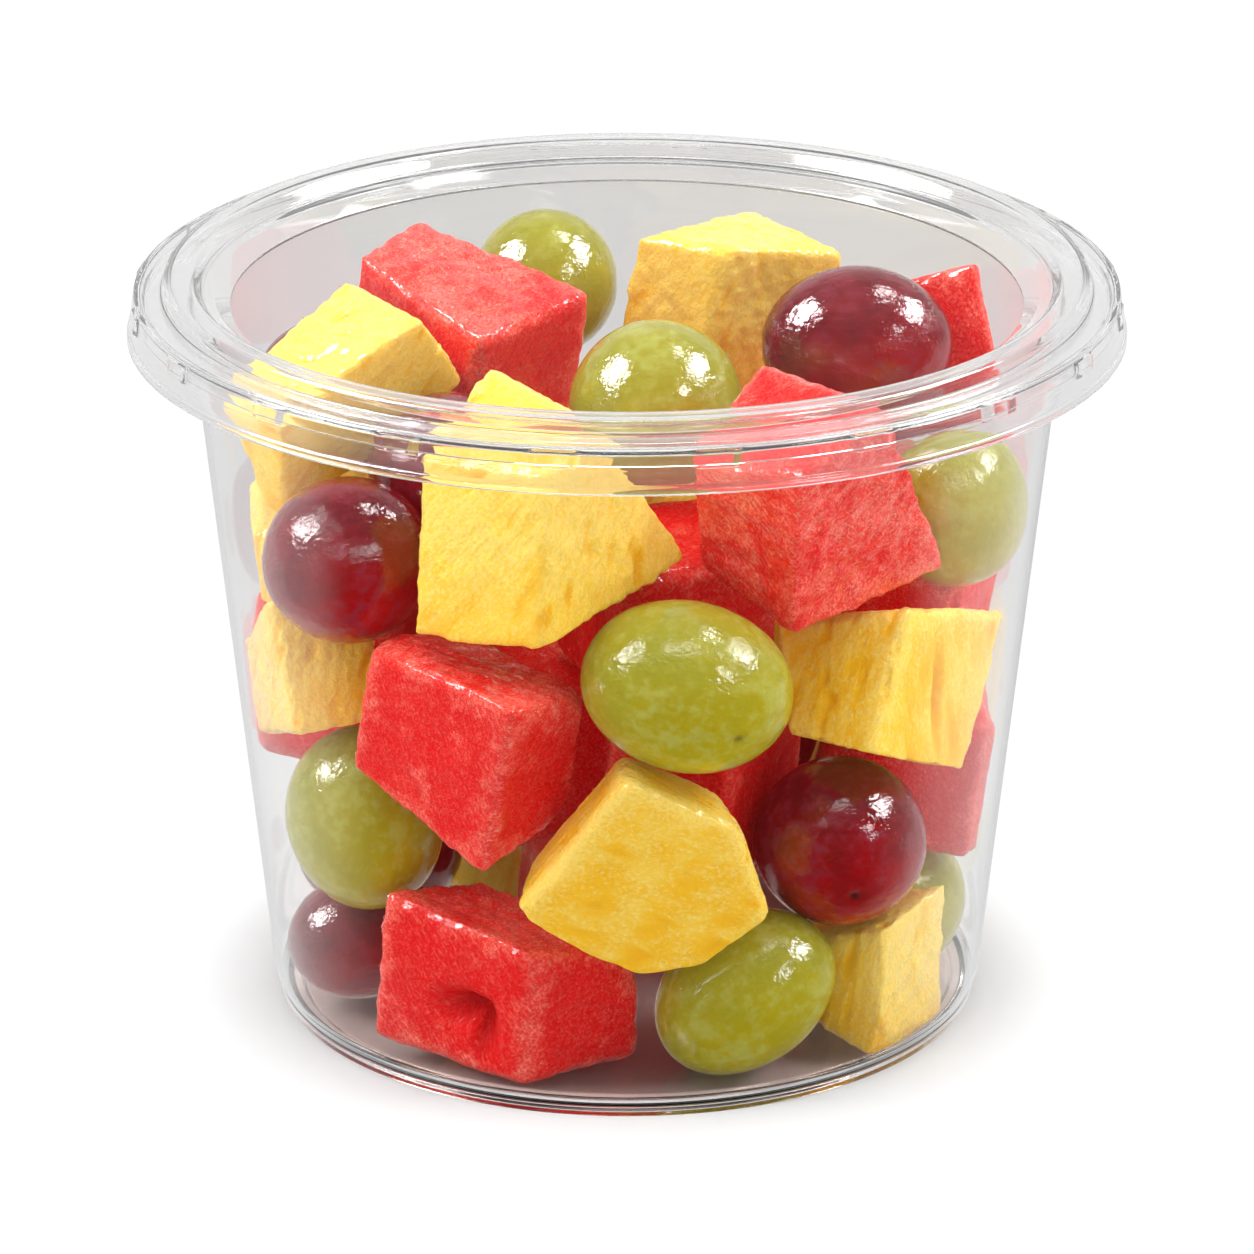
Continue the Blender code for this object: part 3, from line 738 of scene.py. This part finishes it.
def make_lid(material, film):
    """The lid: a raised ring with a ledge inside, a flange, a skirt with lugs, and a thin panel."""
    outline = rounded([
        (47.6, 88.0, 0.3),
        (50.0, 89.8, 0.5),
        (51.2, 89.9, 0.3),
        (52.4, 91.8, 0.5),
        (54.8, 91.8, 0.5),
        (55.2, 89.8, 0.4),
        (58.6, 89.8, 0.5),
        (59.2, 85.6, 0.2),
        (59.5, SKIRT_FOOT_HEIGHT, 0.15),
        (SKIRT_FOOT_RADIUS, SKIRT_FOOT_HEIGHT, 0.15),
        (SKIRT_FOOT_RADIUS, 85.5, 0.3),
        (59.7, 85.8, 0.15),
        (59.51, 87.45, 0.1),
        (59.48, 87.6, 0.1),
        (59.46, 87.75, 0.1),
        (59.2, 89.65, 0.1),
        (59.18, 89.8, 0.1),
        (SKIRT_TOP_RADIUS, LID_FLANGE_TOP, 0.5),
        (55.7, LID_FLANGE_TOP, 0.4),
        (55.4, LID_TOP, 0.9),
        (52.2, LID_TOP, 0.8),
        (50.9, LID_FLANGE_TOP + 0.1, 0.4),
        (49.8, LID_FLANGE_TOP, 0.5),
        (47.4, 88.4, 0.3),
    ])
    points, faces = turned(outline, closed=True, steps=LID_STEPS)
    item = add_piece("lid_ring", raise_lugs(points), faces, material)
    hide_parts("lid")
    panel = rounded([
        (0.0, PANEL_UNDERSIDE, 0),
        (PANEL_RADIUS, PANEL_UNDERSIDE, 0.1),
        (PANEL_RADIUS, PANEL_TOP, 0.1),
        (0.0, PANEL_TOP, 0),
    ])
    points, faces = turned(panel, closed=False)
    item = add_piece("lid_panel", points, faces, film)


def raise_lugs(points):
    """Push the skirt's outside out where a lug is: a trapezoid, wider at the top."""
    radius = np.hypot(points[:, 0], points[:, 1])
    pitch = 360 / LUG_COUNT
    angle = np.degrees(np.arctan2(points[:, 1], points[:, 0])) - LUG_FIRST_ANGLE
    aside = np.abs((angle + pitch / 2) % pitch - pitch / 2) * math.pi / 180 * radius
    below = LID_FLANGE_TOP - LUG_BELOW_TOP - points[:, 2]
    half = LUG_HALF_WIDTH - LUG_TAPER * below
    inside = np.clip((half - aside) / 0.35, 0, 1) * np.clip(below / 0.15, 0, 1)
    inside *= np.clip((LUG_HEIGHT - below) / 0.15, 0, 1)
    outside = radius > SKIRT_TOP_RADIUS - 0.2
    push = 1 + inside * outside * LUG_DEPTH / radius
    return points * np.stack([push, push, np.ones_like(push)], -1)


def area_light(name, direction, distance, width, height, power):
    """An area lamp aimed at the middle of the cup, in metres and watts."""
    lamp = bpy.data.lights.new(name, "AREA")
    lamp.shape = "RECTANGLE"
    lamp.size = width
    lamp.size_y = height
    lamp.energy = power
    item = bpy.data.objects.new(name, lamp)
    way = np.array(direction) / np.linalg.norm(direction)
    item.location = way * distance + np.array([0.0, 0.0, LAMP_TARGET_HEIGHT])
    item.visible_glossy = False
    item.rotation_euler = Vector(way).to_track_quat("Z", "Y").to_euler()
    bpy.context.scene.collection.objects.link(item)


def mirrored_box(ray, direction, half_width, half_height):
    """Where a ray meets a soft-edged bright box far away in a direction; sizes are in radians."""
    way = np.array(direction) / np.linalg.norm(direction)
    side = np.cross((0.0, 0.0, 1.0), way)
    side /= np.linalg.norm(side)

    def along(axis):
        inputs = {0: ray, 1: tuple(axis.tolist())}
        return ray.node("ShaderNodeVectorMath", inputs, out="Value", operation="DOT_PRODUCT")

    def within(axis, half):
        aside = along(axis)
        return 1 - aside.math("ABSOLUTE", aside, 0.0).ramp(half - BOX_BLUR, half + BOX_BLUR)

    inside = within(side, half_width) * within(np.cross(way, side), half_height)
    return inside * along(way).ramp(0.0, 0.1)


def seen_rays(tree):
    """Three masks of rays from the camera that met nothing matt.

    They are the rays that were mirrored, those that only came through clear walls, and those that
    came straight.
    """
    maker = Socket(tree)

    def passed(name):
        depth = maker.node("ShaderNodeLightPath", out=name)
        return depth.math("MINIMUM", depth, 1.0)

    unspread = 1 - passed("Diffuse Depth")
    mirrored = passed("Glossy Depth") * unspread
    cleared = passed("Transmission Depth")
    return mirrored, cleared * unspread * (1 - mirrored), (1 - cleared) * unspread * (1 - mirrored)


def white_floor():
    """A white floor: matt near the cup, where it takes the shadow, and pure white farther off.

    Through the clear walls it greys with distance. Mirrored, it is dark in front of the cup and
    bright behind it.
    """
    material, tree, _ = finish_material("white floor")
    tree.nodes.remove(tree.nodes["Principled BSDF"])
    maker = Socket(tree)
    mirror_ray, clear_ray, straight_ray = seen_rays(tree)
    place = maker.node("ShaderNodeTexCoord", out="Object")
    behind = place.node("ShaderNodeSeparateXYZ", {0: place}, out="Y").ramp(-0.045, -0.005)
    away = place.node("ShaderNodeVectorMath", {0: place}, out="Value", operation="LENGTH")
    far = away.ramp(0.043, 0.057) * (straight_ray + clear_ray)
    white = straight_ray.mix((0.95, 0.95, 0.95, 1.0), (0.72, 0.72, 0.72, 1.0))
    matt = maker.node("ShaderNodeBsdfDiffuse", {"Color": white})
    greyer = away.ramp(0.06, 0.2).mix((0.95, 0.95, 0.95, 1.0), (0.7, 0.69, 0.69, 1.0))
    lit = clear_ray.mix((1.05, 1.05, 1.05, 1.0), greyer)
    plain = maker.node("ShaderNodeEmission", {"Color": lit})
    near = maker.node("ShaderNodeMixShader", {0: far, 1: matt, 2: plain})
    shine = behind.mix((0.03, 0.03, 0.03, 1.0), (0.8, 0.8, 0.8, 1.0))
    mirrored = maker.node("ShaderNodeEmission", {"Color": shine})
    mix_output(tree, mirror_ray, near, mirrored)
    return material


def make_stage():
    """A plain white floor, a white room, soft lamps at both sides and the camera."""
    side = FLOOR_HALF_SIZE
    mesh = bpy.data.meshes.new("floor")
    corners = [(-side, -side, 0), (side, -side, 0), (side, side, 0), (-side, side, 0)]
    mesh.from_pydata(corners, [], [(0, 1, 2, 3)])
    mesh.materials.append(white_floor())
    floor = bpy.data.objects.new("floor", mesh)
    bpy.context.scene.collection.objects.link(floor)

    world = bpy.data.worlds.new("white room")
    world.use_nodes = True
    bpy.context.scene.world = world
    tree = world.node_tree
    background = tree.nodes["Background"]
    maker = Socket(tree)
    ray = maker.node("ShaderNodeTexCoord", out="Generated")
    onward = ray.node("ShaderNodeSeparateXYZ", {0: ray}, out="Y").ramp(0.3, 0.85)
    overhead = ray.node("ShaderNodeSeparateXYZ", {0: ray}, out="Z").ramp(0.6, 0.95)
    shine = onward * 0.75 + overhead * 0.25 + 0.1
    for direction, half_width, half_height, brightness in BOXES:
        shine = shine + mirrored_box(ray, direction, half_width, half_height) * brightness
    mirror_ray = seen_rays(tree)[0]
    strength = mirror_ray * shine + (1 - mirror_ray) * ROOM_BRIGHTNESS
    tree.links.new(strength.output, background.inputs["Strength"])
    background.inputs["Color"].default_value = (1.0, 1.0, 1.0, 1.0)

    for lamp in LAMPS:
        area_light(*lamp)

    camera = bpy.data.cameras.new("camera")
    camera.sensor_width = 36.0
    camera.lens = CAMERA_LENS
    item = bpy.data.objects.new("camera", camera)
    tilt = math.radians(CAMERA_TILT)
    height = CAMERA_TARGET_HEIGHT + CAMERA_DISTANCE * math.sin(tilt)
    item.location = (0.0, -CAMERA_DISTANCE * math.cos(tilt), height)
    item.rotation_euler = (math.pi / 2 - tilt, 0.0, 0.0)
    bpy.context.scene.collection.objects.link(item)
    bpy.context.scene.camera = item
    bpy.context.scene.view_settings.view_transform = "Standard"


def make_fruit():
    """Every cube and grape, each in place of its solid."""
    melon, pineapple = melon_flesh(), pineapple_flesh()
    # The third colour of each grape is its heart: partly its own deeper tone, partly painted glow.
    green = grape_skin(
        "green grape skin", paint(150, 146, 38), paint(192, 190, 96), paint(168, 152, 14),
        paint(172, 176, 92), paint(126, 114, 34), (0.9, 1.0, 0.25),
    )
    red = grape_skin(
        "red grape skin", paint(98, 10, 20), paint(156, 50, 58), paint(152, 2, 4),
        paint(122, 46, 66), paint(60, 16, 16), (1.0, 0.12, 0.1),
    )
    drops = {kind: Drops() for kind in ("watermelon", "pineapple", "green_grape", "red_grape")}
    for seed, node in enumerate(sorted(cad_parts)):
        kind = "pineapple" if node.startswith("pineapple") else node.rsplit("_", 1)[0]
        if kind == "watermelon":
            way = np.random.default_rng(seed).normal(size=3)
            cut_cube(node, melon, way, melon_relief, drops[kind], seed)
        elif kind == "pineapple":
            way = FIBRES.get(node, OTHER_FIBRES)
            gathered = drops[kind]
            cut_cube(node, pineapple, way, pineapple_relief, gathered, seed, low_edge_painted_shade=0.9)
        elif kind in drops:
            skin = green if kind == "green_grape" else red
            grape(node, skin, SCARS.get(node), drops[kind], seed)
    white = (1.0, 1.0, 1.0, 1.0)
    wetness = clear_finish("juice drops", white, 1.34, lamp_share=1.0, roughness=0.0)
    for kind, gathered in drops.items():
        gathered.add(kind + "_drops", kind, wetness)


make_fruit()
make_cup(clear_finish("clear cup plastic", (0.98, 0.98, 0.98, 1.0), 1.4))
make_juice(clear_finish("fruit juice", (1.0, 0.82, 0.76, 1.0), 1.34))
make_lid(
    clear_finish("clear lid plastic", (0.98, 0.98, 0.98, 1.0), 1.47, clearness=0.97), lid_film()
)
make_stage()
